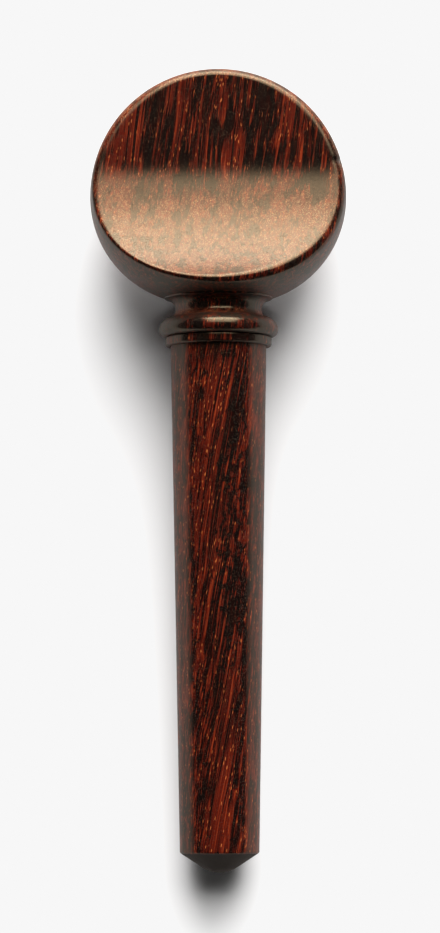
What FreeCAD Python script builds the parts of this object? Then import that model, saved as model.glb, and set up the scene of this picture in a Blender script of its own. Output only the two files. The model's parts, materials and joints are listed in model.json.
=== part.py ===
"""A violin tuning peg, turned and carved from dense rosewood, as a shaft, two collar rings and a head.

Millimetres. Each body is drawn about its own Z, the peg's axis: Z = 0 is the shoulder where the
tapered shank begins, +Z runs to the head and Y is the head's thickness. The pieces then share one
placement, in which the peg lies on the XY plane as it does on a bench: it rests on the swell of the
head and on the end of the shank, with the head towards +Y and the axis rising a few degrees.
"""

import FreeCAD, Part
import math
import os

import Sketcher

SIZES = {
    # The shank: a 1 in 30 taper, measured on the diameter, with a blunt cone at its end.
    "shank_top_diameter": 9.0,
    "shank_length": 47.4,
    "taper_ratio": 30,
    "tip_slope": 33,
    "tip_dome_radius": 3.0,
    # The tenon that carries the bead and the head, and the space left for glue.
    "tenon_diameter": 5.0,
    "tenon_length": 9.1,
    "tenon_chamfer": 0.4,
    "glue_gap": 0.05,
    "socket_relief": 0.2,
    # The collar: a thin ring on the shank's seat, and a half-round bead above it.
    "ring_height": 0.9,
    "ring_radius": 5.0,
    "ring_rounding": 0.25,
    "bead_radius": 5.6,
    "bead_lower_rounding": 0.65,
    "bead_upper_rounding": 1.2,
    # The head: a neck with a hollow cove, then a ball turned from two arcs.
    "neck_radius": 4.07,
    "neck_height": 3.5,
    "cove_radius": 1.0,
    "head_radius": 12.1,
    "head_height": 14.2,
    "head_lower_radius": 10.0,
    # The two scoops that leave a thin blade for the finger and thumb.
    "scoop_radius": 20.0,
    "blade_top_thickness": 4.0,
    "blade_wedge_angle": 2.4,
    "blade_start_height": 17.66,
    "rim_rounding": 0.7,
}
# Sizes that follow from the others. The sheet works them out, so they stay right when one changes.
DERIVED = {
    "shank_top_radius": "shank_top_diameter / 2",
    "shank_end_radius": "(shank_top_diameter - shank_length / taper_ratio) / 2",
    "tenon_radius": "tenon_diameter / 2",
    "socket_radius": "tenon_diameter / 2 + glue_gap",
    "seat_bore_radius": "shank_top_diameter / 2 + glue_gap",
    "collar_top": "ring_height + bead_lower_rounding + bead_upper_rounding",
    "cove_centre": "neck_radius + cove_radius",
    "head_top": "head_height + head_radius",
    "blade_angle": "90 + blade_wedge_angle",
    "blade_top_depth": "blade_top_thickness / 2",
    "scoop_clearance": "head_radius * 1.1",
}
START, END, CENTRE = 1, 2, 3
X_AXIS, Y_AXIS = -1, -2
MEETING = 1e-6


def make_sheet(doc):
    sheet = doc.addObject("Spreadsheet::Sheet", "Sizes")
    formulas = {alias: f"={formula}" for alias, formula in DERIVED.items()}
    for row, (alias, value) in enumerate({**SIZES, **formulas}.items(), start=1):
        sheet.set(f"A{row}", alias)
        sheet.set(f"B{row}", str(value))
        sheet.setAlias(f"B{row}", alias)
    doc.recompute()
    return sheet


def origin_plane(body, role):
    return next(item for item in body.Origin.OriginFeatures if item.Role == role)


def new_sketch(body, role, name):
    sketch = body.newObject("Sketcher::SketchObject", name)
    sketch.AttachmentSupport = [(origin_plane(body, role), "")]
    sketch.MapMode = "FlatFace"
    return sketch


def line(start, end):
    return Part.LineSegment(FreeCAD.Vector(*start, 0), FreeCAD.Vector(*end, 0))


def arc(centre, radius, first_angle, last_angle):
    """A counterclockwise arc between two angles in degrees."""
    circle = Part.Circle(FreeCAD.Vector(*centre, 0), FreeCAD.Vector(0, 0, 1), radius)
    return Part.ArcOfCircle(circle, math.radians(first_angle), math.radians(last_angle))


def draw(sketch, outline, smooth=()):
    """Adds the outline, and joins its ends where they meet: smoothly for the pairs in smooth."""
    sketch.addGeometry(outline, False)
    ends = [(index, end) for index in range(len(outline)) for end in (START, END)]
    for place, (first, first_end) in enumerate(ends):
        for second, second_end in ends[place + 1:]:
            apart = sketch.getPoint(first, first_end) - sketch.getPoint(second, second_end)
            if first == second or apart.Length > MEETING:
                continue
            kind = "Tangent" if (first, second) in smooth else "Coincident"
            sketch.addConstraint(Sketcher.Constraint(kind, first, first_end, second, second_end))


def relate(sketch, kind, *places):
    sketch.addConstraint(Sketcher.Constraint(kind, *places))


def drive(sketch, name, size, kind, *places):
    """Adds a named dimension and ties it to one of the sheet's sizes."""
    value = getattr(sketch.Document.getObject("Sizes"), size)
    first = math.radians(value) if kind == "Angle" else value
    index = sketch.addConstraint(Sketcher.Constraint(kind, *places, first))
    sketch.renameConstraint(index, name)
    sketch.setExpression(f"Constraints.{name}", f"Sizes.{size}")


def turn(body, sketch, name):
    turned = body.newObject("PartDesign::Revolution", name)
    turned.Profile = sketch
    turned.ReferenceAxis = (sketch, ["V_Axis"])
    turned.Angle = 360
    return turned


def edges_where(shape, wanted):
    """The names of the edges for which wanted(edge) holds. The point of a dome has no curve."""
    found = []
    for index, edge in enumerate(shape.Edges, start=1):
        if not edge.Degenerated and wanted(edge):
            found.append(f"Edge{index}")
    return found


def dress(body, kind, name, size_property, formula, wanted):
    """Rounds or chamfers the edges of the body's last feature for which wanted(edge) holds."""
    body.Document.recompute()
    base = body.Tip
    dressed = body.newObject(f"PartDesign::{kind}", name)
    dressed.Base = (base, edges_where(base.Shape, wanted))
    dressed.setExpression(size_property, formula)
    return dressed


def is_circle(edge, radius, height):
    """A full circle about the axis, with this radius and at this height."""
    curve = edge.Curve
    return (
        isinstance(curve, Part.Circle)
        and edge.Closed
        and abs(curve.Radius - radius) < MEETING
        and abs(curve.Center.z - height) < MEETING
    )


def make_shaft(doc, sizes):
    """The tapered shank, with a seat for the ring and a tenon above it."""
    top_radius = sizes.shank_top_diameter / 2
    end_radius = top_radius - sizes.shank_length / sizes.taper_ratio / 2
    tenon_radius = sizes.tenon_diameter / 2
    tenon_end = sizes.ring_height + sizes.tenon_length
    slope = math.radians(sizes.tip_slope)
    dome = sizes.tip_dome_radius
    dome_edge = dome * math.sin(slope)
    cone_end = -sizes.shank_length - (end_radius - dome_edge) * math.tan(slope)
    dome_centre = cone_end + dome * math.cos(slope)

    body = doc.addObject("PartDesign::Body", "shaft")
    sketch = new_sketch(body, "XZ_Plane", "shaft_profile")
    tip, cone, taper, seat, shoulder, tenon, tenon_face, axis = range(8)
    outline = [
        arc((0, dome_centre), dome, -90, sizes.tip_slope - 90),
        line((dome_edge, cone_end), (end_radius, -sizes.shank_length)),
        line((end_radius, -sizes.shank_length), (top_radius, 0)),
        line((top_radius, 0), (top_radius, sizes.ring_height)),
        line((top_radius, sizes.ring_height), (tenon_radius, sizes.ring_height)),
        line((tenon_radius, sizes.ring_height), (tenon_radius, tenon_end)),
        line((tenon_radius, tenon_end), (0, tenon_end)),
        line((0, tenon_end), (0, dome_centre - dome)),
    ]
    draw(sketch, outline, smooth=[(tip, cone)])
    relate(sketch, "PointOnObject", tip, START, Y_AXIS)
    relate(sketch, "PointOnObject", tip, CENTRE, Y_AXIS)
    relate(sketch, "PointOnObject", taper, END, X_AXIS)
    for upright in (seat, tenon, axis):
        relate(sketch, "Vertical", upright)
    for level in (shoulder, tenon_face):
        relate(sketch, "Horizontal", level)
    drive(sketch, "dome", "tip_dome_radius", "Radius", tip)
    drive(sketch, "slope", "tip_slope", "Angle", cone)
    drive(sketch, "length", "shank_length", "DistanceY", taper, START, X_AXIS, START)
    drive(sketch, "top_radius", "shank_top_radius", "DistanceX", X_AXIS, START, taper, END)
    drive(sketch, "end_radius", "shank_end_radius", "DistanceX", X_AXIS, START, taper, START)
    drive(sketch, "seat_height", "ring_height", "DistanceY", seat, START, seat, END)
    drive(sketch, "tenon_radius", "tenon_radius", "DistanceX", X_AXIS, START, tenon, START)
    drive(sketch, "tenon_length", "tenon_length", "DistanceY", tenon, START, tenon, END)
    turn(body, sketch, "turned_shaft")
    dress(
        body,
        "Chamfer",
        "tenon_lead_in",
        "Size",
        "Sizes.tenon_chamfer",
        lambda edge: is_circle(edge, tenon_radius, tenon_end),
    )
    return body


def make_collar_ring(doc, sizes):
    """The thin ring under the bead, slipped over the shank's seat."""
    bore = sizes.shank_top_diameter / 2 + sizes.glue_gap
    height = sizes.ring_height

    body = doc.addObject("PartDesign::Body", "collar_ring")
    sketch = new_sketch(body, "XZ_Plane", "ring_profile")
    lower, outer, upper, inner = range(4)
    outline = [
        line((bore, 0), (sizes.ring_radius, 0)),
        line((sizes.ring_radius, 0), (sizes.ring_radius, height)),
        line((sizes.ring_radius, height), (bore, height)),
        line((bore, height), (bore, 0)),
    ]
    draw(sketch, outline)
    relate(sketch, "PointOnObject", lower, START, X_AXIS)
    for level in (lower, upper):
        relate(sketch, "Horizontal", level)
    for upright in (outer, inner):
        relate(sketch, "Vertical", upright)
    drive(sketch, "bore", "seat_bore_radius", "DistanceX", X_AXIS, START, lower, START)
    drive(sketch, "outer_radius", "ring_radius", "DistanceX", X_AXIS, START, lower, END)
    drive(sketch, "height", "ring_height", "DistanceY", outer, START, outer, END)
    turn(body, sketch, "turned_ring")
    dress(
        body,
        "Fillet",
        "ring_edges",
        "Radius",
        "Sizes.ring_rounding",
        lambda edge: any(is_circle(edge, sizes.ring_radius, level) for level in (0, height)),
    )
    return body


def make_collar_bead(doc, sizes):
    """The bead: two quarter rounds, the lower one tight and the upper one long, on the tenon."""
    bore = sizes.tenon_diameter / 2 + sizes.glue_gap
    low, high = sizes.bead_lower_rounding, sizes.bead_upper_rounding
    foot = sizes.ring_height
    widest = foot + low
    top = widest + high

    body = doc.addObject("PartDesign::Body", "collar_bead")
    sketch = new_sketch(body, "XZ_Plane", "bead_profile")
    lower_face, lower_round, upper_round, upper_face, inner = range(5)
    outline = [
        line((bore, foot), (sizes.bead_radius - low, foot)),
        arc((sizes.bead_radius - low, widest), low, -90, 0),
        arc((sizes.bead_radius - high, widest), high, 0, 90),
        line((sizes.bead_radius - high, top), (bore, top)),
        line((bore, top), (bore, foot)),
    ]
    draw(sketch, outline, smooth=[(lower_face, lower_round), (lower_round, upper_round)])
    for level in (lower_face, upper_face):
        relate(sketch, "Horizontal", level)
    relate(sketch, "Vertical", inner)
    relate(sketch, "Horizontal", lower_round, CENTRE, upper_round, CENTRE)
    relate(sketch, "Vertical", upper_round, CENTRE, upper_round, END)
    drive(sketch, "bore", "socket_radius", "DistanceX", X_AXIS, START, lower_face, START)
    drive(sketch, "foot", "ring_height", "DistanceY", X_AXIS, START, lower_face, START)
    drive(sketch, "outer_radius", "bead_radius", "DistanceX", X_AXIS, START, lower_round, END)
    drive(sketch, "lower_rounding", "bead_lower_rounding", "Radius", lower_round)
    drive(sketch, "upper_rounding", "bead_upper_rounding", "Radius", upper_round)
    turn(body, sketch, "turned_bead")
    return body


def turn_head(body, sizes):
    """The head as it leaves the lathe: the neck's cove and a ball with a flatter lower half."""
    foot = sizes.ring_height + sizes.bead_lower_rounding + sizes.bead_upper_rounding
    cove, lower = sizes.cove_radius, sizes.head_lower_radius
    cove_x = sizes.neck_radius + cove
    lower_x = sizes.head_radius - lower
    centre = sizes.head_height
    cove_drop = sizes.neck_height - foot
    foot_angle = 180 + math.degrees(math.asin(cove_drop / cove))
    foot_radius = cove_x - math.sqrt(cove**2 - cove_drop**2)
    cove_top = sizes.neck_height + cove
    step_angle = -math.degrees(math.acos((cove_x - lower_x) / lower))
    step_top = centre + lower * math.sin(math.radians(step_angle))

    sketch = new_sketch(body, "XZ_Plane", "head_profile")
    neck_face, hollow, step, lower_ball, upper_ball, axis = range(6)
    outline = [
        line((0, foot), (foot_radius, foot)),
        arc((cove_x, sizes.neck_height), cove, 90, foot_angle),
        line((cove_x, cove_top), (cove_x, step_top)),
        arc((lower_x, centre), lower, step_angle, 0),
        arc((0, centre), sizes.head_radius, 0, 90),
        line((0, centre + sizes.head_radius), (0, foot)),
    ]
    draw(sketch, outline, smooth=[(lower_ball, upper_ball)])
    relate(sketch, "PointOnObject", neck_face, START, Y_AXIS)
    relate(sketch, "PointOnObject", upper_ball, CENTRE, Y_AXIS)
    relate(sketch, "Horizontal", neck_face)
    for upright in (step, axis):
        relate(sketch, "Vertical", upright)
    relate(sketch, "Vertical", hollow, CENTRE, hollow, START)
    relate(sketch, "Horizontal", lower_ball, CENTRE, upper_ball, CENTRE)
    drive(sketch, "foot", "collar_top", "DistanceY", X_AXIS, START, neck_face, START)
    drive(sketch, "cove_centre", "cove_centre", "DistanceX", X_AXIS, START, hollow, CENTRE)
    drive(sketch, "neck_height", "neck_height", "DistanceY", X_AXIS, START, hollow, CENTRE)
    drive(sketch, "cove_radius", "cove_radius", "Radius", hollow)
    drive(sketch, "head_height", "head_height", "DistanceY", X_AXIS, START, upper_ball, CENTRE)
    drive(sketch, "head_radius", "head_radius", "Radius", upper_ball)
    drive(sketch, "lower_radius", "head_lower_radius", "Radius", lower_ball)
    turn(body, sketch, "turned_head")


def scoop_head(body, sizes):
    """Hollows the two faces: a deep curve above the neck that runs out into a flat, thinning blade."""
    wedge = sizes.blade_wedge_angle
    radius = sizes.scoop_radius
    top = sizes.head_height + sizes.head_radius
    top_depth = sizes.blade_top_thickness / 2
    start = sizes.blade_start_height
    start_depth = top_depth + (top - start) * math.tan(math.radians(wedge))
    centre_depth = start_depth + radius * math.cos(math.radians(wedge))
    centre_height = start + radius * math.sin(math.radians(wedge))
    low = sizes.neck_height
    low_angle = 180 + math.degrees(math.asin((centre_height - low) / radius))
    low_depth = centre_depth + radius * math.cos(math.radians(low_angle))
    clear = sizes.head_radius * 1.1

    sketch = new_sketch(body, "YZ_Plane", "scoop_profile")
    curve, blade, upper, outer, lower = range(5)
    outline = [
        arc((centre_depth, centre_height), radius, 180 + wedge, low_angle),
        line((start_depth, start), (top_depth, top)),
        line((top_depth, top), (clear, top)),
        line((clear, top), (clear, low)),
        line((clear, low), (low_depth, low)),
    ]
    draw(sketch, outline, smooth=[(curve, blade)])
    for level in (upper, lower):
        relate(sketch, "Horizontal", level)
    relate(sketch, "Vertical", outer)
    drive(sketch, "scoop_radius", "scoop_radius", "Radius", curve)
    drive(sketch, "wedge", "blade_angle", "Angle", blade)
    drive(sketch, "blade_start", "blade_start_height", "DistanceY", X_AXIS, START, blade, START)
    drive(sketch, "top", "head_top", "DistanceY", X_AXIS, START, blade, END)
    drive(sketch, "top_depth", "blade_top_depth", "DistanceX", X_AXIS, START, blade, END)
    drive(sketch, "clear", "scoop_clearance", "DistanceX", X_AXIS, START, outer, START)
    drive(sketch, "low", "neck_height", "DistanceY", X_AXIS, START, outer, END)

    scoop = body.newObject("PartDesign::Pocket", "first_scoop")
    scoop.Profile = sketch
    scoop.Type = "ThroughAll"
    scoop.SideType = "Symmetric"
    second = body.newObject("PartDesign::Mirrored", "second_scoop")
    second.Originals = [scoop]
    second.MirrorPlane = (origin_plane(body, "XZ_Plane"), [""])
    body.Tip = second


def on_blade_face(point, sizes):
    """Whether a point of the head lies on a scoop, which is where the rim's edges run."""
    depth = abs(point.y)
    wedge = math.radians(sizes.blade_wedge_angle)
    top = sizes.head_height + sizes.head_radius
    flat = sizes.blade_top_thickness / 2 + (top - point.z) * math.tan(wedge)
    if point.z >= sizes.blade_start_height:
        return abs(depth - flat) < MEETING
    start = sizes.blade_start_height
    start_depth = sizes.blade_top_thickness / 2 + (top - start) * math.tan(wedge)
    centre_depth = start_depth + sizes.scoop_radius * math.cos(wedge)
    centre_height = start + sizes.scoop_radius * math.sin(wedge)
    reach = math.hypot(depth - centre_depth, point.z - centre_height)
    return abs(reach - sizes.scoop_radius) < MEETING


def is_rim(edge, sizes):
    """A scoop's outer edge, and not the line across it where the curve meets the blade."""
    first, middle, last = edge.discretize(3)
    crosses = abs(first.z - last.z) < MEETING and abs(first.z - middle.z) < MEETING
    return not crosses and on_blade_face(middle, sizes) and on_blade_face(last, sizes)


def make_head(doc, sizes):
    """The thumb piece: turned, scooped on both faces, its rim rounded and its neck bored."""
    body = doc.addObject("PartDesign::Body", "head")
    turn_head(body, sizes)
    scoop_head(body, sizes)
    dress(body, "Fillet", "rim", "Radius", "Sizes.rim_rounding", lambda edge: is_rim(edge, sizes))

    socket_radius = sizes.tenon_diameter / 2 + sizes.glue_gap
    sketch = new_sketch(body, "XY_Plane", "socket_circle")
    up = FreeCAD.Vector(0, 0, 1)
    sketch.addGeometry([Part.Circle(FreeCAD.Vector(0, 0, 0), up, socket_radius)], False)
    relate(sketch, "Coincident", 0, CENTRE, X_AXIS, START)
    drive(sketch, "socket_radius", "socket_radius", "Radius", 0)
    socket = body.newObject("PartDesign::Pocket", "socket")
    socket.Profile = sketch
    socket.Reversed = True
    socket.setExpression("Length", "Sizes.ring_height + Sizes.tenon_length + Sizes.socket_relief")
    return body


def lying_down(rise):
    """The turn that lays the axis along +Y, with its head end raised by this many degrees."""
    return FreeCAD.Placement(FreeCAD.Vector(), FreeCAD.Rotation(FreeCAD.Vector(1, 0, 0), rise - 90))


def box_at(shape, placement):
    return shape.transformed(placement.toMatrix(), True).optimalBoundingBox(False)


def resting_placement(head, shaft):
    """The placement in which head and shaft both touch the ground, centred on the origin."""
    low, high = 0.0, 10.0
    while high - low > MEETING:
        rise = (low + high) / 2
        laid = lying_down(rise)
        if box_at(head, laid).ZMin < box_at(shaft, laid).ZMin:
            low = rise
        else:
            high = rise
    laid = lying_down(rise)
    box = box_at(Part.Compound([head, shaft]), laid)
    laid.Base = FreeCAD.Vector(-box.Center.x, -box.Center.y, -box.ZMin)
    return laid


def check(doc, bodies):
    for item in doc.Objects:
        if {"Invalid", "Error"} & set(item.State):
            raise RuntimeError(f"{item.Name} is {item.State}")
    for body in bodies:
        if body.Shape.isNull() or not body.Shape.isValid() or len(body.Shape.Solids) != 1:
            raise RuntimeError(f"{body.Label} isn't one valid solid")


def main():
    doc = FreeCAD.newDocument("tuning_peg")
    sizes = make_sheet(doc)
    shaft = make_shaft(doc, sizes)
    ring = make_collar_ring(doc, sizes)
    bead = make_collar_bead(doc, sizes)
    head = make_head(doc, sizes)
    bodies = [shaft, ring, bead, head]
    doc.recompute()
    check(doc, bodies)

    resting = resting_placement(head.Shape, shaft.Shape)
    for body in bodies:
        body.Placement = resting
    doc.recompute()
    check(doc, bodies)

    os.makedirs("parts", exist_ok=True)
    for body in bodies:
        body.Shape.exportStep(f"parts/{body.Label}.step")
        box = body.Shape.optimalBoundingBox(False)
        print(f"{body.Label}: {body.Shape.Volume:.1f} mm3, {box}")
    print("resting placement:", resting)


main()
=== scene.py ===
"""A violin tuning peg of dense figured rosewood, lying face up on a pale bench."""

import json
import math

import bpy
import numpy as np
from mathutils import Matrix, Vector


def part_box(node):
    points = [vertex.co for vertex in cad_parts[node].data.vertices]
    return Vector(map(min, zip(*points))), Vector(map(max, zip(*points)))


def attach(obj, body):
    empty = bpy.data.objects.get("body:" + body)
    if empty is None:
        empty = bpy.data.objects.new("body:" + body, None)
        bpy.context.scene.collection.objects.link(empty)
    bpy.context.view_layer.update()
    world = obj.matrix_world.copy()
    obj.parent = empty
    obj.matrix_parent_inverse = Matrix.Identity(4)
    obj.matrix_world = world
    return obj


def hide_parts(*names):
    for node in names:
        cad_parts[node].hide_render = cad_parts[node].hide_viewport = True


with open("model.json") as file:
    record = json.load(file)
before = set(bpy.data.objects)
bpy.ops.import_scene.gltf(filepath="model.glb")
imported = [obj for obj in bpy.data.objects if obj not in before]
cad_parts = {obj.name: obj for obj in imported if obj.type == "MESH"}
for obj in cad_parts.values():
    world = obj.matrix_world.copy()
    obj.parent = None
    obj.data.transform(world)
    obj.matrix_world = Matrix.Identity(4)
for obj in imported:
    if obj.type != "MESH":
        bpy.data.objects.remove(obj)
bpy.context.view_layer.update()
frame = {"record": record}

# ---------------------------------------------------------------- the peg's own frame
# Millimetres. x is across the head, t is up out of its face, and run is along the peg's axis,
# from 0 at the shank's shoulder to the head's top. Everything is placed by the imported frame.
MM = 0.001
mounts = {mount["name"]: mount for mount in frame["record"]["mounts"]}
shank_mount = mounts["tapered_shank"]
SHANK_LENGTH = shank_mount["dims"]["length_mm"]
MIDDLE_RADIUS = shank_mount["dims"]["r_mm"]
HEAD_RADIUS = (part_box("head")[1][0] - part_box("head")[0][0]) / 2 / MM
BEAD_RADIUS = (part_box("collar_bead")[1][0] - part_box("collar_bead")[0][0]) / 2 / MM
RING_RADIUS = (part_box("collar_ring")[1][0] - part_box("collar_ring")[0][0]) / 2 / MM
to_tip = Vector(shank_mount["axis"]).normalized()
along = -to_tip
across = Vector((1, 0, 0))
upward = across.cross(along)
shoulder = Vector(shank_mount["pos_m"]) + along * (SHANK_LENGTH / 2 * MM)
RISE = math.atan2(along.z, along.y)

# The taper is on the diameter. It is the usual one for violin pegs, taken as given.
TAPER = 1 / 30
TOP_RADIUS = MIDDLE_RADIUS + SHANK_LENGTH * TAPER / 4
END_RADIUS = MIDDLE_RADIUS - SHANK_LENGTH * TAPER / 4
TIP_SLOPE = math.radians(33)
TIP_DOME = 3.0
TENON_RADIUS = 2.5
TENON_END = 10.0
GLUE_GAP = 0.05
RING_HEIGHT = 0.9
BEAD_LOW, BEAD_HIGH = 0.65, 1.2
COLLAR_TOP = RING_HEIGHT + BEAD_LOW + BEAD_HIGH
NECK_RADIUS, NECK_HEIGHT, COVE = 4.07, 3.5, 1.0
HEAD_HEIGHT, HEAD_LOWER = 14.2, 10.0
HEAD_TOP = HEAD_HEIGHT + HEAD_RADIUS
SCOOP, WEDGE, BLADE_START, BLADE_TOP = 20.0, math.radians(2.4), 17.66, 2.0
SOCKET_END = TENON_END + 0.2
RIM_ROUND, BACK_RIM_ROUND = 0.62, 0.72
TURNED_COLUMNS = 256


def to_world(points):
    """Points as rows of x, t, run in millimetres, to the row frame in metres."""
    basis = np.array([across, upward, along])
    return np.array(shoulder) + np.asarray(points) @ basis * MM


# ---------------------------------------------------------------- outlines and meshes
def bend(centre, radius, first, last, count):
    """Points along an arc from one angle to another, in degrees; columns are radius and run."""
    turn = np.radians(np.linspace(first, last, count))
    return np.stack([centre[0] + radius * np.cos(turn), centre[1] + radius * np.sin(turn)], 1)


def straight(start, end, count):
    return np.linspace(start, end, count)


def outline_of(*stretches):
    """Joins stretches end to end, leaving out a point that repeats the one before."""
    joined = np.concatenate(stretches)
    apart = np.linalg.norm(np.diff(joined, axis=0), axis=1) > 1e-6
    return joined[np.concatenate([[True], apart])]


def soften(corner, before, after, radius, count=6):
    """A small round between two straight directions at a corner, as points on a quadratic curve."""
    start = np.add(corner, radius * np.array(before) / np.linalg.norm(before))
    end = np.add(corner, radius * np.array(after) / np.linalg.norm(after))
    share = np.linspace(0, 1, count)[:, None]
    corner = np.array(corner)
    return (1 - share) ** 2 * start + 2 * share * (1 - share) * corner + share**2 * end


def mesh_object(name, rings, first_pole=None, last_pole=None, looped=False):
    """A closed quad mesh from rings of equal length, capped by a point at each end or looped."""
    count, width = rings.shape[:2]
    points = [tuple(point) for point in to_world(rings.reshape(-1, 3))]
    faces = []
    last_row = count if looped else count - 1
    for row in range(last_row):
        here, after = row * width, (row + 1) % count * width
        for column in range(width):
            beside = (column + 1) % width
            faces.append((here + column, here + beside, after + beside, after + column))
    for pole, row, flip in ((first_pole, 0, True), (last_pole, count - 1, False)):
        if pole is None:
            continue
        points.append(tuple(to_world([pole])[0]))
        tip = len(points) - 1
        for column in range(width):
            pair = (row * width + column, row * width + (column + 1) % width)
            faces.append((*reversed(pair), tip) if flip else (*pair, tip))
    mesh = bpy.data.meshes.new(name)
    mesh.from_pydata(points, [], faces)
    mesh.validate()
    mesh.shade_smooth()
    piece = bpy.data.objects.new(name, mesh)
    bpy.context.scene.collection.objects.link(piece)
    return piece


def turned(name, outline, columns, looped=False, wobble=None):
    """A lathe-turned piece. Its outline runs towards the head on the outside."""
    azimuth = np.linspace(0, 2 * math.pi, columns, endpoint=False)
    radius, run = outline[:, 0][:, None], outline[:, 1][:, None] + 0 * azimuth
    if wobble:
        radius = radius + wobble(azimuth[None, :], run)
    rings = np.stack([radius * np.cos(azimuth), radius * np.sin(azimuth), run], 2)
    if looped:
        return mesh_object(name, rings, looped=True)
    return mesh_object(name, rings[1:-1], (0, 0, outline[0, 1]), (0, 0, outline[-1, 1]))


def sharp_edges(piece, degrees):
    """Keeps creases crisp where faces meet at more than this angle."""
    piece.data.set_sharp_from_angle(angle=math.radians(degrees))


# ---------------------------------------------------------------- the pieces
def make_shank():
    """The tapered shank: domed cone end, eased edge, seat and tenon."""
    rise = math.tan(TIP_SLOPE)
    dome_edge = TIP_DOME * math.sin(TIP_SLOPE)
    cone_end = -SHANK_LENGTH - (END_RADIUS - dome_edge) * rise
    dome_centre = cone_end + TIP_DOME * math.cos(TIP_SLOPE)
    slope_angle = math.degrees(TIP_SLOPE)
    edge = (END_RADIUS, -SHANK_LENGTH)
    down_cone = (-math.cos(TIP_SLOPE), -math.sin(TIP_SLOPE))
    up_taper = (TAPER / 2, 1)
    seat_top = (TOP_RADIUS, RING_HEIGHT)
    root = (TENON_RADIUS, RING_HEIGHT)
    end = (TENON_RADIUS, TENON_END)
    eased_edge = soften(edge, down_cone, up_taper, 0.12)
    outline = outline_of(
        bend((0, dome_centre), TIP_DOME, -90, slope_angle - 90, 14),
        straight((dome_edge, cone_end), eased_edge[0], 40),
        eased_edge,
        straight(eased_edge[-1], (TOP_RADIUS, 0), 90),
        straight((TOP_RADIUS, 0), (TOP_RADIUS, RING_HEIGHT - 0.05), 4),
        soften(seat_top, (0, -1), (-1, 0), 0.05, 4),
        straight((TOP_RADIUS - 0.05, RING_HEIGHT), root, 6),
        straight(root, (TENON_RADIUS, TENON_END - 0.4), 12),
        straight((TENON_RADIUS, TENON_END - 0.4), (TENON_RADIUS - 0.4, TENON_END), 3),
        straight((TENON_RADIUS - 0.4, TENON_END), (0, TENON_END), 8),
    )
    piece = turned("tapered_shank", outline, TURNED_COLUMNS)
    sharp_edges(piece, 40)
    return piece


def make_ring():
    """The thin ring: both outer edges rounded, bored to fit the shank's seat."""
    bore = TOP_RADIUS + GLUE_GAP
    low = soften((RING_RADIUS, 0), (-1, 0), (0, 1), 0.27, 9)
    high = soften((RING_RADIUS, RING_HEIGHT), (0, -1), (-1, 0), 0.22, 9)
    outline = outline_of(
        straight((bore, 0), low[0], 4),
        low,
        straight(low[-1], high[0], 6),
        high,
        straight(high[-1], (bore, RING_HEIGHT), 4),
        straight((bore, RING_HEIGHT), (bore, RING_HEIGHT / 6), 6),
    )
    piece = turned("lower_collar_ring", outline, TURNED_COLUMNS, looped=True)
    sharp_edges(piece, 40)
    return piece


def make_bead():
    """The half-round bead: a tight round below its widest line and a long one above."""
    bore = TENON_RADIUS + GLUE_GAP
    widest = RING_HEIGHT + BEAD_LOW
    outline = outline_of(
        straight((bore, RING_HEIGHT), (BEAD_RADIUS - BEAD_LOW, RING_HEIGHT), 10),
        bend((BEAD_RADIUS - BEAD_LOW, widest), BEAD_LOW, -90, 0, 16),
        bend((BEAD_RADIUS - BEAD_HIGH, widest), BEAD_HIGH, 0, 90, 24),
        straight((BEAD_RADIUS - BEAD_HIGH, COLLAR_TOP), (bore, COLLAR_TOP), 8),
        straight((bore, COLLAR_TOP), (bore, RING_HEIGHT + 0.2), 8),
    )
    piece = turned("round_collar_bead", outline, TURNED_COLUMNS, looped=True)
    sharp_edges(piece, 40)
    return piece


def hull_radius(run):
    """The turned ball's radius at each run, before the scoops."""
    lower = HEAD_RADIUS - HEAD_LOWER + np.sqrt(np.maximum(HEAD_LOWER**2 - (run - HEAD_HEIGHT) ** 2, 0))
    upper = np.sqrt(np.maximum(HEAD_RADIUS**2 - (run - HEAD_HEIGHT) ** 2, 0))
    return np.where(run < HEAD_HEIGHT, lower, upper)


def hull_depth(radius, run):
    """How far a point is outside the turned ball, in millimetres; negative inside."""
    below = np.hypot(radius - (HEAD_RADIUS - HEAD_LOWER), run - HEAD_HEIGHT) - HEAD_LOWER
    above = np.hypot(radius, run - HEAD_HEIGHT) - HEAD_RADIUS
    return np.where(run < HEAD_HEIGHT, below, above)


BLADE_DEPTH = BLADE_TOP + (HEAD_TOP - BLADE_START) * math.tan(WEDGE)
SCOOP_CENTRE = (BLADE_DEPTH + SCOOP * math.cos(WEDGE), BLADE_START + SCOOP * math.sin(WEDGE))


def scoop_half(run):
    """Half the thickness between the two scoops at each run."""
    flat = BLADE_TOP + (HEAD_TOP - run) * math.tan(WEDGE)
    reach = np.sqrt(np.maximum(SCOOP**2 - (run - SCOOP_CENTRE[1]) ** 2, 0))
    return np.where(run < BLADE_START, SCOOP_CENTRE[0] - reach, flat)


def scoop_depth(depth, run):
    """How far a point is past the scooped face, in millimetres; negative inside the wood."""
    flat = (depth - BLADE_TOP - (HEAD_TOP - run) * math.tan(WEDGE)) * math.cos(WEDGE)
    curved = SCOOP - np.hypot(depth - SCOOP_CENTRE[0], run - SCOOP_CENTRE[1])
    return np.where(run < BLADE_START, curved, flat)


def swell(value, centre, width):
    return np.exp(-(((value - centre) / width) ** 2))


def rim_round(x, run):
    """The rim's rounding: hand-eased, so it is broad at the lower right and tight at the lower left."""
    place = np.degrees(np.arctan2(run - HEAD_HEIGHT, x))
    broad = 0.28 * swell(place, -45, 38)
    tight = 0.3 * swell(place, -142, 40) + 0.3 * swell(place, 178, 30) + 0.2 * swell(place, -182, 30)
    return RIM_ROUND + broad - tight + 0.02 * np.sin(np.radians(place) * 5 + 1)


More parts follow.
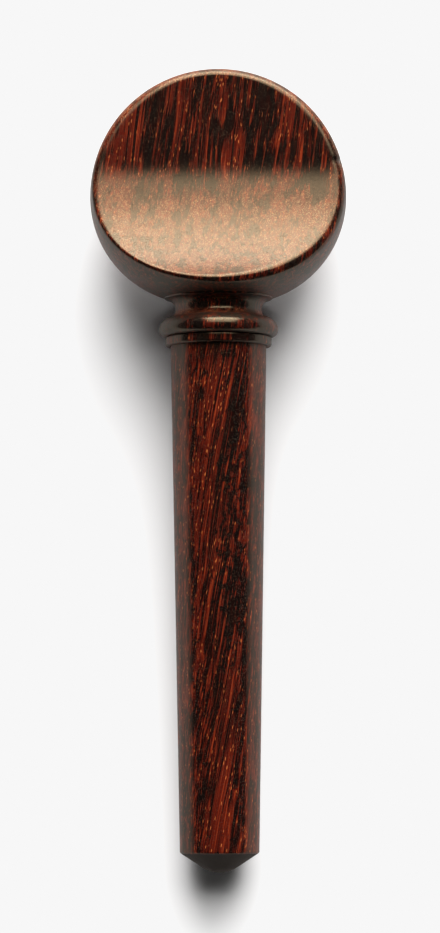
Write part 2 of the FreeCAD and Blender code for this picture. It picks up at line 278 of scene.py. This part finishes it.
def head_depth(x, t, run):
    """How far a point is outside the finished head: the ball and a scoop meeting in a rounded rim."""
    rounding = np.where(t > 0, rim_round(x, run), BACK_RIM_ROUND)
    ball = hull_depth(np.hypot(x, t), run) + rounding
    face = scoop_depth(np.abs(t), run) + rounding
    outside = np.hypot(np.maximum(ball, 0), np.maximum(face, 0))
    return outside + np.minimum(np.maximum(ball, face), 0) - rounding


NICK_PLACE, NICK_SIZE, NICK_DEPTH = (11.55, 17.3), (0.5, 0.28), 0.16


def nick(x, t, run):
    """A small bruise on the right of the rim, as a fall in radius."""
    away = np.hypot((x - NICK_PLACE[0]) / NICK_SIZE[0], (run - NICK_PLACE[1]) / NICK_SIZE[1])
    return np.where(t > 0, NICK_DEPTH * np.exp(-(away**2)), 0)


def make_head():
    """The thumb piece, as sections across its axis: each is a circle cut by the two scoops."""
    quarter = 72
    foot_radius = NECK_RADIUS + COVE - math.sqrt(COVE**2 - (NECK_HEIGHT - COLLAR_TOP) ** 2)
    cove_x = NECK_RADIUS + COVE
    foot_angle = 180 + math.degrees(math.asin((NECK_HEIGHT - COLLAR_TOP) / COVE))
    lower_x = HEAD_RADIUS - HEAD_LOWER
    step_run = HEAD_HEIGHT - math.sqrt(HEAD_LOWER**2 - (cove_x - lower_x) ** 2)
    swell_start = step_run + 0.06
    neck = outline_of(
        bend((cove_x, NECK_HEIGHT), COVE, foot_angle, 96, 26),
        soften((cove_x, NECK_HEIGHT + COVE), (-1, 0), (0, 1), 0.08, 5),
        straight((cove_x, NECK_HEIGHT + COVE + 0.08), (cove_x, step_run), 3),
        straight((cove_x, step_run), (float(hull_radius(np.array(swell_start))), swell_start), 3),
    )
    lower_runs = swell_start + (6.6 - swell_start) * np.linspace(0, 1, 70)[1:]
    middle_runs = np.linspace(6.6, HEAD_TOP - 1.4, 96)[1:]
    top_runs = HEAD_TOP - 1.4 * (1 - np.linspace(0, 1, 44)[1:-1]) ** 2
    runs = np.concatenate([neck[:, 1], lower_runs, middle_runs, top_runs])
    radii = np.concatenate([neck[:, 0], hull_radius(np.concatenate([lower_runs, middle_runs, top_runs]))])
    half = scoop_half(runs)

    # Each quarter section has columns along its side, through the rim, and across its face.
    corner = np.arcsin(np.clip(half / radii, 0, 0.94))
    side_share, rim_share = 14, 20
    rim_half = np.clip(1.1 / radii, 0.03, 0.16)
    start, end = corner - np.minimum(rim_half, corner * 0.6), np.minimum(corner + rim_half * 1.6, 1.5)
    azimuth = np.zeros((len(runs), quarter + 1))
    for row, (low, high) in enumerate(zip(start, end)):
        side = np.linspace(0, low, side_share + 1)
        rim = np.linspace(low, high, rim_share + 1)[1:]
        slope = np.linspace(1 / math.tan(high), 0, quarter - side_share - rim_share + 1)[1:]
        azimuth[row] = np.concatenate([side, rim, np.arctan2(1, slope)])
    before = azimuth[:, :-1]
    full = np.concatenate(
        [before, math.pi - azimuth[:, :0:-1], math.pi + before, 2 * math.pi - azimuth[:, :0:-1]], 1
    )
    in_neck = (runs <= swell_start)[:, None]
    cosine, sine = np.cos(full), np.sin(full)

    near = np.zeros_like(full)
    far = np.broadcast_to(radii[:, None] * 1.002, full.shape).copy()
    level = np.broadcast_to(runs[:, None], full.shape)
    for _ in range(36):
        middle = (near + far) / 2
        inside = head_depth(middle * cosine, middle * sine, level) < 0
        near, far = np.where(inside, middle, near), np.where(inside, far, middle)
    reach = np.where(in_neck, radii[:, None], (near + far) / 2)
    reach = reach - nick(reach * cosine, reach * sine, level)
    rings = np.stack([reach * cosine, reach * sine, level], 2)

    # The neck's foot turns in to the socket, whose blind end closes the surface.
    socket = TENON_RADIUS + GLUE_GAP
    inner = outline_of(
        straight((0, SOCKET_END), (socket, SOCKET_END), 5)[1:],
        straight((socket, SOCKET_END), (socket, COLLAR_TOP), 12),
        straight((socket, COLLAR_TOP), (foot_radius, COLLAR_TOP), 7)[:-1],
    )
    unit = np.stack([np.cos(full[0]), np.sin(full[0])], 1)
    inner_rings = np.stack(
        [np.column_stack([unit * radius, np.full(len(unit), run)]) for radius, run in inner]
    )
    piece = mesh_object(
        "thumb_head", np.concatenate([inner_rings, rings]), (0, 0, SOCKET_END), (0, 0, HEAD_TOP)
    )
    sharp_edges(piece, 50)
    return piece


# ---------------------------------------------------------------- materials
class Graph:
    """A material's node tree, with short calls that make a node and link what feeds it."""

    def __init__(self, name):
        self.material = bpy.data.materials.new(name)
        self.material.use_nodes = True
        self.tree = self.material.node_tree
        self.tree.nodes.clear()

    def node(self, kind, feeds=None, **settings):
        made = self.tree.nodes.new(kind)
        for setting, value in settings.items():
            setattr(made, setting, value)
        for socket, feed in (feeds or {}).items():
            if isinstance(feed, bpy.types.NodeSocket):
                self.tree.links.new(feed, made.inputs[socket])
            else:
                made.inputs[socket].default_value = feed
        return made

    def noise(self, place, detail=2.0, roughness=0.5, distortion=0.0):
        feeds = {
            "Vector": place, "Scale": 1.0, "Detail": detail,
            "Roughness": roughness, "Distortion": distortion,
        }
        return self.node("ShaderNodeTexNoise", feeds).outputs["Fac"]

    def stretch(self, place, scale, shift=(0, 0, 0), turn=(0, 0, 0)):
        feeds = {"Vector": place, "Location": shift, "Rotation": turn, "Scale": scale}
        return self.node("ShaderNodeMapping", feeds).outputs["Vector"]

    def ramp(self, value, low, high):
        """0 below low and 1 above high, easing in and out."""
        feeds = {"Value": value, "From Min": low, "From Max": high}
        made = self.node("ShaderNodeMapRange", feeds, interpolation_type="SMOOTHSTEP")
        return made.outputs["Result"]

    def math(self, operation, first, second=0.0):
        made = self.node("ShaderNodeMath", {0: first, 1: second}, operation=operation)
        return made.outputs["Value"]

    def mix(self, share, first, second):
        made = self.node("ShaderNodeMix", data_type="RGBA", blend_type="MIX")
        for socket, feed in ((made.inputs[0], share), (made.inputs[6], first), (made.inputs[7], second)):
            if isinstance(feed, bpy.types.NodeSocket):
                self.tree.links.new(feed, socket)
            else:
                socket.default_value = feed
        return made.outputs[2]


def flecks(graph, place, scale, size, keep):
    """Short strands along the grain, each round a cell's centre: 1 inside a fleck and 0 outside."""
    cells = graph.node("ShaderNodeTexVoronoi", {"Vector": graph.stretch(place, scale), "Randomness": 1.0})
    near = graph.ramp(graph.math("MULTIPLY", cells.outputs["Distance"], -1), -size, -size * 0.6)
    chance = graph.node("ShaderNodeSeparateColor", {"Color": cells.outputs["Color"]}).outputs["Red"]
    return graph.math("MULTIPLY", near, graph.math("LESS_THAN", chance, keep))


RED_WOOD = (0.056, 0.0046, 0.0022, 1)
ORANGE_WOOD = (0.18, 0.021, 0.006, 1)
BROWN_WOOD = (0.0065, 0.0014, 0.0012, 1)
# Lighter tint for faces turned towards the head: partly grain cut across, partly a painted sheen where
# the panel light falls.
CUT_GRAIN_AND_SHEEN = (0.16, 0.024, 0.010, 1)
BLACK_FIGURE = (0.0022, 0.0014, 0.0014, 1)
PALE_FLECK = (0.62, 0.17, 0.045, 1)
# Pale cream dots: partly open pores cut across, partly painted glints on the lit side.
PALE_DOT_AND_GLINT = (0.95, 0.58, 0.27, 1)
DARK_PORE = (0.001, 0.0008, 0.0008, 1)
# The shank end's flat blue-grey: partly its end grain, partly a painted dull reflection of the pale
# bench.
END_GRAIN_AND_REFLECTION = (0.016, 0.013, 0.014, 1)


def rosewood(name, lean, shift, mottle, shine, open_grain_and_sheen, knot=None):
    """Dense red-brown wood: fibre streaks along the grain, black mottled figure, pores and flecks.

    lean is the grain's angle to the peg's axis in degrees, mottle is how short the black figure's
    patches are along it, and shine is the roughness of its oiled polish. open_grain_and_sheen is how
    strongly
    faces turned towards the head, where the panel light falls, take a lighter tint and pale dots:
    partly the grain cut across, partly a painted sheen with painted glints. A knot is a place where
    the black figure gathers: its middle across and along the peg, and its half sizes.
    """
    graph = Graph(name)
    coordinates = graph.node("ShaderNodeTexCoord").outputs["Object"]
    origin = (0, -along.dot(shoulder) / MM, -upward.dot(shoulder) / MM)
    level = graph.stretch(coordinates, (1 / MM,) * 3, shift=origin, turn=(-RISE, 0, 0))
    grain = graph.stretch(level, (1, 1, 1), shift=shift, turn=(0, 0, math.radians(lean)))

    slow = graph.stretch(grain, (0.22, 0.05, 0.22))
    wander = graph.node("ShaderNodeTexNoise", {"Vector": slow, "Scale": 1.0})
    sway = graph.node(
        "ShaderNodeVectorMath",
        {0: wander.outputs["Color"], 1: (1.1, 0.0, 1.1)},
        operation="MULTIPLY",
    ).outputs["Vector"]
    grain = graph.node("ShaderNodeVectorMath", {0: grain, 1: sway}, operation="ADD").outputs["Vector"]

    broad = graph.noise(graph.stretch(grain, (0.55, 0.05, 0.55)))
    streak = graph.noise(graph.stretch(grain, (3.3, 0.05, 3.3)), 2.0, 0.6)
    fibre = graph.noise(graph.stretch(grain, (8.5, 0.12, 8.5)), 2.0, 0.6)
    growth = graph.noise(graph.stretch(grain, (0.42, 0.05, 2.2)), 2.0, 0.55, 0.4)
    blotch = graph.noise(graph.stretch(grain, (1.5, mottle, 1.6)), 2.5, 0.6, 0.35)

    red_field = graph.math("ADD", streak, graph.math("MULTIPLY", broad, 0.35))
    red_field = graph.math("ADD", red_field, graph.math("MULTIPLY", fibre, 0.6))
    red = graph.ramp(red_field, 0.86, 1.12)
    colour = graph.mix(red, BROWN_WOOD, RED_WOOD)
    glow_field = graph.math("ADD", graph.math("MULTIPLY", streak, 0.55), fibre)
    glow = graph.ramp(glow_field, 0.83, 1.06)
    colour = graph.mix(glow, colour, ORANGE_WOOD)

    dark_field = graph.math("ADD", blotch, graph.math("MULTIPLY", fibre, -0.30))
    dark_field = graph.math("ADD", dark_field, 0.115)
    dark_field = graph.math("ADD", dark_field, graph.math("MULTIPLY", growth, 0.38))
    dark_field = graph.math("ADD", dark_field, graph.math("MULTIPLY", broad, -0.30))
    if knot:
        across_at, along_at, half_across, half_along = knot
        spread = (1 / half_across, 1 / half_along, 0)
        offset = (-across_at / half_across, -along_at / half_along, 0)
        away = graph.node(
            "ShaderNodeVectorMath", {0: graph.stretch(level, spread, shift=offset)}, operation="LENGTH"
        ).outputs["Value"]
        outside = graph.math("MULTIPLY", graph.ramp(away, 0.4, 1.4), 0.15)
        dark_field = graph.math("SUBTRACT", dark_field, outside)
        dark_field = graph.math("ADD", dark_field, 0.06)
    dark = graph.ramp(dark_field, 0.45, 0.62)
    colour = graph.mix(graph.math("MULTIPLY", dark, 0.92), colour, BLACK_FIGURE)

    # Faces turned towards the head, where the panel light falls, take a lighter tint and pale dots:
    # partly the grain cut across, partly a painted sheen and painted glints on the lit side only.
    facing = graph.node("ShaderNodeNewGeometry").outputs["Normal"]
    facing = graph.node("ShaderNodeVectorMath", {0: facing, 1: tuple(along)}, operation="DOT_PRODUCT")
    cut = graph.math("MULTIPLY", graph.ramp(facing.outputs["Value"], 0.06, 0.34), open_grain_and_sheen)
    clear = graph.math("SUBTRACT", 1.0, graph.math("MULTIPLY", dark, 0.75))
    cut = graph.math("MULTIPLY", cut, clear)
    # Painted sheen in part: only faces turned towards the head, where the panel light falls, take this
    # lighter tint along with the cut grain.
    colour = graph.mix(graph.math("MULTIPLY", cut, 0.42), colour, CUT_GRAIN_AND_SHEEN)

    bed = graph.math("MULTIPLY", graph.ramp(red_field, 0.80, 1.10), graph.math("SUBTRACT", 1.0, dark))
    bed = graph.math("ADD", graph.math("MULTIPLY", bed, 0.85), 0.05)
    fleck = flecks(graph, grain, (2.6, 0.26, 2.6), 0.30, 0.20)
    colour = graph.mix(graph.math("MULTIPLY", fleck, bed), colour, PALE_FLECK)
    # Pale dots, mostly on faces turned towards the head: partly open pores cut across, partly painted
    # glints where the panel light falls.
    dot_place = graph.stretch(grain, (1, 1, 1), shift=(7.1, 2.9, 1.3))
    dot = flecks(graph, dot_place, (3.7, 1.7, 3.7), 0.34, 0.6)
    dot_and_glint_bed = graph.math("ADD", graph.math("MULTIPLY", cut, 0.58), graph.math("MULTIPLY", bed, 0.02))
    colour = graph.mix(graph.math("MULTIPLY", dot, dot_and_glint_bed), colour, PALE_DOT_AND_GLINT)
    pore_place = graph.stretch(grain, (1, 1, 1), shift=(3.3, 1.7, 5.1))
    pore = flecks(graph, pore_place, (3.4, 1.2, 3.4), 0.32, 0.7)
    pore = graph.math("MULTIPLY", pore, graph.math("ADD", graph.math("MULTIPLY", cut, 0.8), 0.2))
    colour = graph.mix(pore, colour, DARK_PORE)

    # The shank's end takes a flat blue-grey: partly its end grain, partly a painted dull reflection of
    # the pale bench.
    end = graph.node("ShaderNodeSeparateXYZ", {"Vector": level}).outputs["Y"]
    end = graph.ramp(graph.math("MULTIPLY", end, -1), SHANK_LENGTH + 0.02, SHANK_LENGTH + 0.12)
    colour = graph.mix(end, colour, END_GRAIN_AND_REFLECTION)

    bumps = graph.math("ADD", graph.math("MULTIPLY", fibre, 0.15), graph.math("MULTIPLY", pore, -1.0))
    relief = graph.node("ShaderNodeBump", {"Strength": 1.0, "Distance": 0.00004, "Height": bumps})
    roughness = graph.math("ADD", shine, graph.math("MULTIPLY", fibre, 0.06))
    roughness = graph.math("ADD", roughness, graph.math("MULTIPLY", pore, 0.8))
    roughness = graph.math("ADD", roughness, graph.math("MULTIPLY", end, 0.35))
    # Rougher at glancing angles. This is a choice of look, which keeps the sides from mirroring
    # the pale bench; it isn't a measured property of the wood.
    glancing = graph.node("ShaderNodeLayerWeight", {"Blend": 0.5}).outputs["Facing"]
    glancing = graph.math("MULTIPLY", graph.ramp(glancing, 0.11, 0.52), 0.42)
    roughness = graph.math("ADD", roughness, glancing)
    shader = graph.node(
        "ShaderNodeBsdfPrincipled",
        {
            "Base Color": colour,
            "Roughness": roughness,
            "IOR": 1.38,
            "Specular IOR Level": 0.60,
            "Specular Tint": (1.0, 0.76, 0.46, 1),
            "Normal": relief.outputs["Normal"],
        },
    )
    graph.node("ShaderNodeOutputMaterial", {"Surface": shader.outputs["BSDF"]})
    return graph.material


def plain(name, colour, roughness):
    graph = Graph(name)
    shader = graph.node("ShaderNodeBsdfPrincipled", {"Base Color": colour, "Roughness": roughness})
    graph.node("ShaderNodeOutputMaterial", {"Surface": shader.outputs["BSDF"]})
    return graph.material


# ---------------------------------------------------------------- the stage
FLOOR_REACH = 3.0
FLOOR_WHITE = 0.93
# The studio's one big soft panel stands beyond the head. Its edges, and the line from which it
# brightens, are in degrees from overhead towards the head; its sides are sines.
PANEL_TOP, PANEL_BRIGHT, PANEL_FOOT = (15, 26), (28, 58), (84, 70)
PANEL_CENTRE, PANEL_SIDE = 0.09, (0.52, 0.28)
PANEL_LIGHT, PANEL_TOP_SHARE = 16.5, 0.38
HORIZON_LIGHT, OVERHEAD_LIGHT = 0.15, 0.04
HORIZON_EDGE = (0.02, 0.14)


def make_floor():
    """A plain pale bench top under the peg."""
    mesh = bpy.data.meshes.new("bench_top")
    corners = [(FLOOR_REACH * x, FLOOR_REACH * y, 0) for x, y in ((-1, -1), (1, -1), (1, 1), (-1, 1))]
    mesh.from_pydata(corners, [], [(0, 1, 2, 3)])
    floor = bpy.data.objects.new("bench_top", mesh)
    bpy.context.scene.collection.objects.link(floor)
    floor.data.materials.append(plain("bench_white", (0.90, 0.90, 0.91, 1), 0.6))


class Sky:
    """The world's node tree, with short calls for the few nodes that it needs."""

    def __init__(self, name):
        self.world = bpy.data.worlds.new(name)
        self.world.use_nodes = True
        self.nodes, self.links = self.world.node_tree.nodes, self.world.node_tree.links

    def feed(self, socket, value):
        if isinstance(value, bpy.types.NodeSocket):
            self.links.new(value, socket)
        else:
            socket.default_value = value

    def math(self, operation, first, second=0.0):
        made = self.nodes.new("ShaderNodeMath")
        made.operation = operation
        self.feed(made.inputs[0], first)
        self.feed(made.inputs[1], second)
        return made.outputs["Value"]

    def fade(self, value, edge, low=0.0, high=1.0):
        """low before the edge's first value and high after its second."""
        made = self.nodes.new("ShaderNodeMapRange")
        made.interpolation_type = "SMOOTHSTEP"
        feeds = {"Value": value, "From Min": edge[0], "From Max": edge[1], "To Min": low, "To Max": high}
        for socket, feed in feeds.items():
            self.feed(made.inputs[socket], feed)
        return made.outputs["Result"]


def make_studio():
    """A dim grey studio, lit by one broad soft panel beyond the head."""
    sky = Sky("studio")
    split = sky.nodes.new("ShaderNodeSeparateXYZ")
    sky.links.new(sky.nodes.new("ShaderNodeTexCoord").outputs["Generated"], split.inputs[0])
    lean = sky.math("DEGREES", sky.math("ARCTAN2", split.outputs["Y"], split.outputs["Z"]))
    aside = sky.math("ABSOLUTE", sky.math("SUBTRACT", split.outputs["X"], PANEL_CENTRE))
    panel = sky.math(
        "ADD",
        sky.fade(lean, PANEL_TOP, high=PANEL_LIGHT * PANEL_TOP_SHARE),
        sky.fade(lean, PANEL_BRIGHT, high=PANEL_LIGHT * (1 - PANEL_TOP_SHARE)),
    )
    for edge, feed in ((PANEL_FOOT, lean), (PANEL_SIDE, aside)):
        panel = sky.math("MULTIPLY", panel, sky.fade(feed, edge[::-1], low=1.0, high=0.0))
    room = sky.fade(split.outputs["Z"], HORIZON_EDGE, low=HORIZON_LIGHT, high=OVERHEAD_LIGHT)
    background = sky.nodes["Background"]
    background.inputs["Color"].default_value = (1.0, 0.99, 0.975, 1)
    sky.feed(background.inputs["Strength"], sky.math("ADD", panel, room))
    bpy.context.scene.world = sky.world


CAMERA_BACK, CAMERA_UP = -0.0518, 0.380
CAMERA_LENS, CAMERA_SENSOR, CAMERA_ROLL = 155.3, 36, -0.0022
AIM_DOWN_SHANK, AIM_ASIDE = 11.3, 0.11


def make_camera():
    """Looks down on the peg from above its shank, so the head is seen a little from below."""
    aim = shoulder - along * (AIM_DOWN_SHANK * MM)
    aim.x += AIM_ASIDE * MM
    data = bpy.data.cameras.new("camera")
    data.sensor_fit = "VERTICAL"
    data.sensor_height = CAMERA_SENSOR
    data.sensor_width = CAMERA_SENSOR
    data.lens = CAMERA_LENS
    data.clip_start = 0.01
    data.clip_end = 20
    camera = bpy.data.objects.new("camera", data)
    place = Vector((aim.x, CAMERA_BACK, CAMERA_UP))
    toward = (place - aim).normalized()
    right = Vector((0, 1, 0)).cross(toward).normalized()
    turn = Matrix((right, toward.cross(right), toward)).transposed()
    roll = Matrix.Rotation(CAMERA_ROLL, 3, "Z")
    camera.matrix_world = Matrix.Translation(place) @ (turn @ roll).to_4x4()
    bpy.context.scene.collection.objects.link(camera)
    bpy.context.scene.camera = camera


def set_look(view):
    """Plain colours, with a soft shoulder so that the pale floor never reads as pure white."""
    view.view_transform = "Standard"
    view.use_curve_mapping = True
    mapping = view.curve_mapping
    mapping.extend = "HORIZONTAL"
    curve = mapping.curves[3]
    curve.points[1].location = (1.0, FLOOR_WHITE)
    curve.points.new(0.75, 0.75)
    mapping.update()


# ---------------------------------------------------------------- putting it together
def finish_piece(piece, node, material):
    piece.data.materials.append(material)
    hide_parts(node)
    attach(piece, "root")


head_wood = rosewood("head_rosewood", 7, (2.0, 11.0, 4.0), 0.24, 0.09, 1.0)
collar_wood = rosewood("collar_rosewood", 5, (31.0, 4.0, 9.0), 0.30, 0.10, 0.0, (0, 1.4, 9, 6))
shank_wood = rosewood("shank_rosewood", 10, (17.0, 60.0, 2.0), 0.92, 0.16, 0.3, (1.4, -16, 1.9, 15))
finish_piece(make_shank(), "shaft", shank_wood)
finish_piece(make_ring(), "collar_ring", collar_wood)
finish_piece(make_bead(), "collar_bead", collar_wood)
finish_piece(make_head(), "head", head_wood)
make_floor()
make_studio()
make_camera()
set_look(bpy.context.scene.view_settings)
